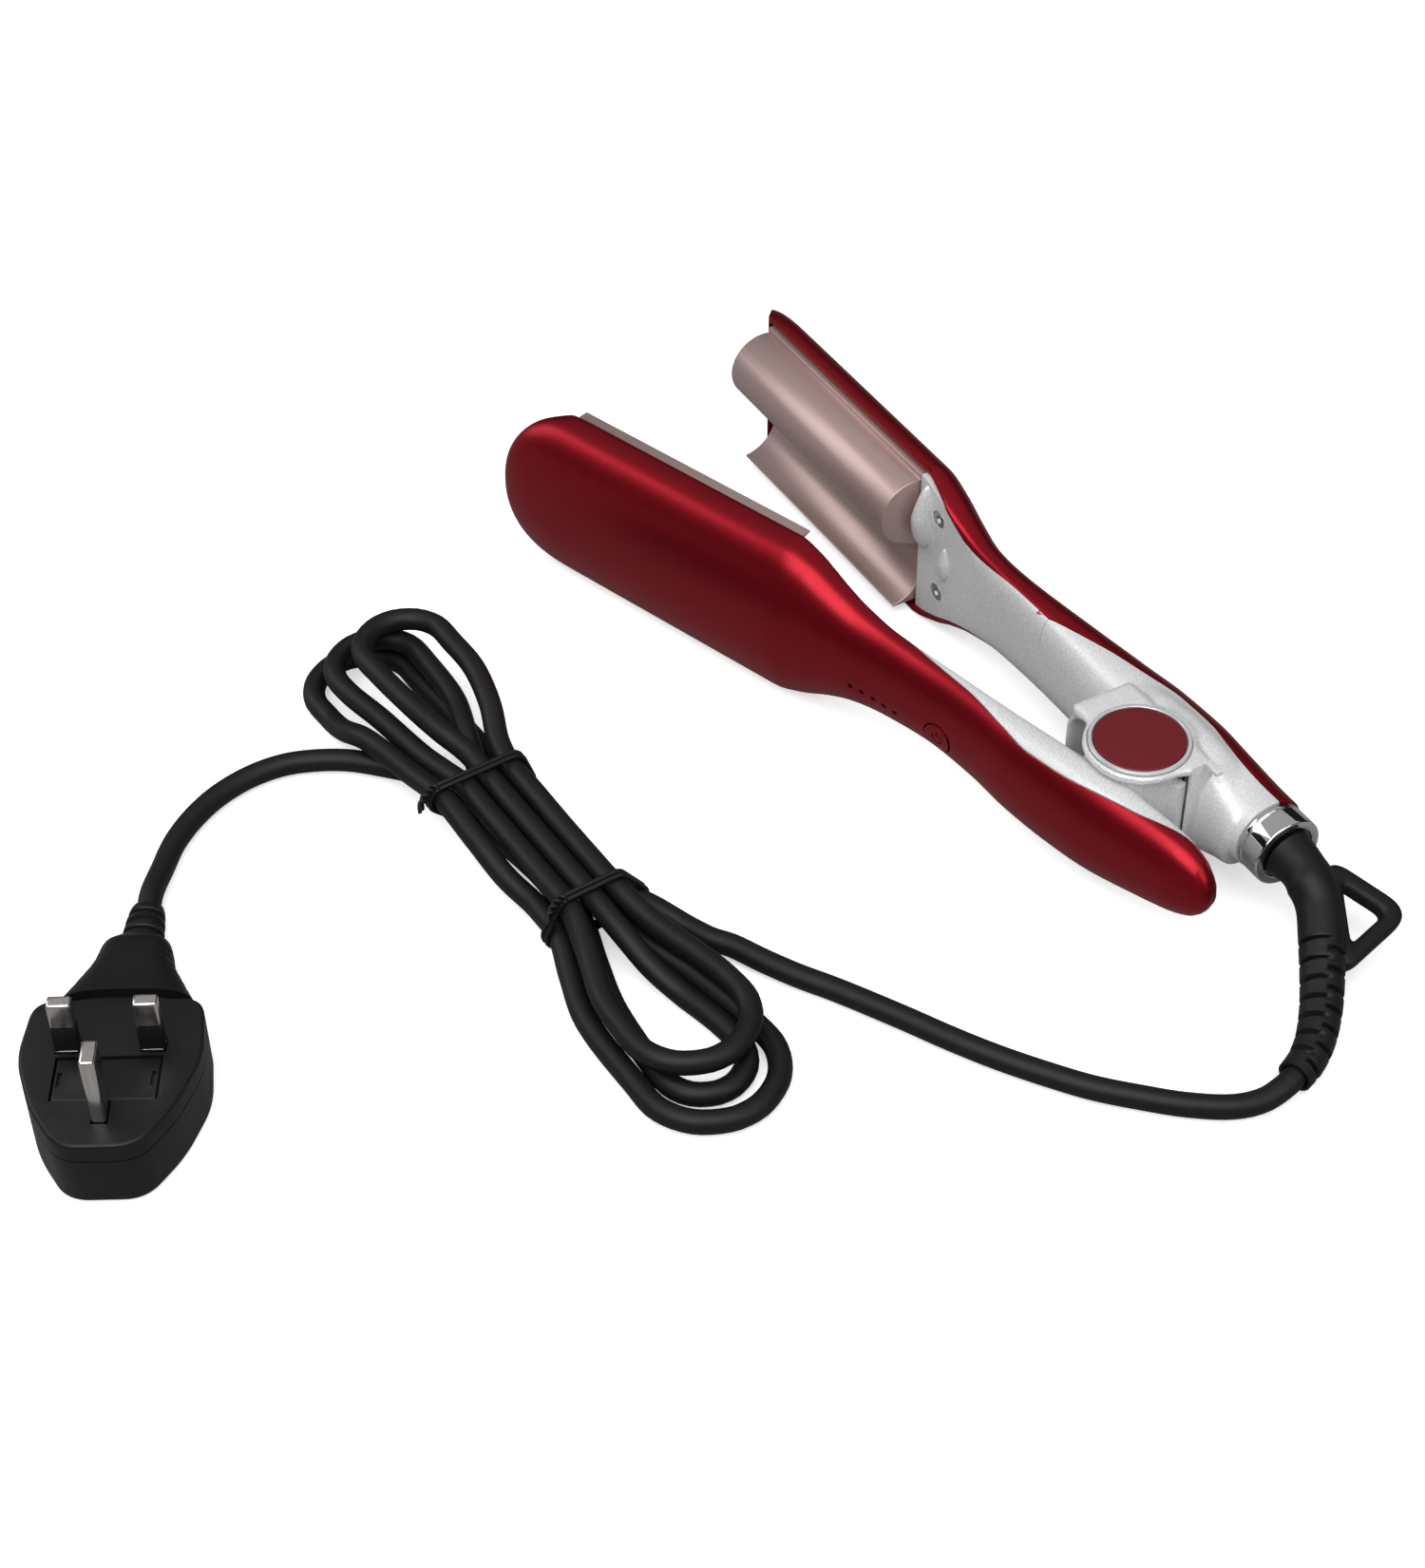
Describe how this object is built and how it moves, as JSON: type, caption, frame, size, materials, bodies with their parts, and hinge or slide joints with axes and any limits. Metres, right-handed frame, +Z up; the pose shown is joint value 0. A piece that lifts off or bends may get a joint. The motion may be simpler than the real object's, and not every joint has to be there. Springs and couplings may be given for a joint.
{
  "type": "hair crimper",
  "caption": "Deep waver with two hinged arms, nesting barrel and trough heating plates, a power button, a swivel lead with hanging loop and a three-pin plug.",
  "frame": {"origin": "hinge axis at the flat face of the lower hinge cap, which rests on the table", "axes": "+X along the fixed arm towards its tip, +Y from the fixed arm to the moving arm, +Z up along the hinge axis"},
  "size_m": [0.333, 0.356, 0.0549],
  "materials": {
    "red_shell": "satin metallic paint",
    "silver_housing": "fine sparkling silver paint",
    "rose_plate": "satin rose-gold coating",
    "cap_disc": "brushed satin paint",
    "mirror_chrome": "mirror",
    "bare_steel": "satin",
    "plated_pin": "satin nickel plating",
    "soft_rubber": "matte",
    "plug_plastic": "fine satin",
    "wire_tie": "matte",
    "heater_ceramic": "matte ceramic",
    "mica_sheet": "matte mica",
    "circuit_board": "satin lacquer",
    "light_lens": "clear satin"
  },
  "bodies": {
    "fixed_arm": {"fixed_shell": "red_shell", "fixed_housing": "silver_housing", "fixed_plate": "rose_plate", "fixed_heater": "heater_ceramic", "fixed_insulator": "mica_sheet", "thermal_fuse": "bare_steel", "hinge_pin": "bare_steel", "torsion_spring": "bare_steel", "top_cap_ring": "mirror_chrome", "top_cap_disc": "cap_disc", "bottom_cap_ring": "mirror_chrome", "bottom_cap_disc": "cap_disc", "collar": "mirror_chrome", "swivel_bush": "plug_plastic", "fixed_screw_upper": "bare_steel", "fixed_screw_lower": "bare_steel", "cord_lead": "soft_rubber", "cord_hank": "soft_rubber", "cord_tail": "soft_rubber", "tie_far": "wire_tie", "tie_near": "wire_tie", "plug_relief": "soft_rubber", "plug_grip": "plug_plastic", "plug_body": "plug_plastic", "fuse_carrier": "plug_plastic", "plug_fuse": "heater_ceramic", "pin_live": "plated_pin", "pin_neutral": "plated_pin", "pin_earth": "plated_pin", "sleeve_live": "plug_plastic", "sleeve_neutral": "plug_plastic"},
    "moving_arm": {"moving_shell": "red_shell", "moving_housing": "silver_housing", "moving_plate": "rose_plate", "moving_heater": "heater_ceramic", "moving_insulator": "mica_sheet", "control_board": "circuit_board", "button_switch": "plug_plastic", "indicator_light_1": "light_lens", "indicator_light_2": "light_lens", "indicator_light_3": "light_lens", "indicator_light_4": "light_lens", "indicator_light_5": "light_lens", "moving_screw_upper": "bare_steel", "moving_screw_lower": "bare_steel"},
    "button": {"power_button": "red_shell"},
    "swivel": {"strain_relief": "soft_rubber"}
  },
  "joints": [
    {"name": "jaw_hinge", "type": "hinge", "parent": "fixed_arm", "child": "moving_arm", "pos_m": [0, 0, 0.021], "axis": [0, 0, -1], "range_deg": [0, 18.5], "stiffness_Nm_per_rad": 1.2, "springref_deg": -20.05},
    {"name": "button_press", "type": "slide", "parent": "moving_arm", "child": "button", "axis": [0.3206, -0.9472, 0], "range_m": [0, 0.0005], "stiffness_N_per_m": 1500, "springref_m": -0.0003},
    {"name": "cord_swivel", "type": "hinge", "parent": "fixed_arm", "child": "swivel", "pos_m": [-0.0427, -0.0214, 0.023], "axis": [1, 0, 0], "range_deg": [0, 90]}
  ]
}
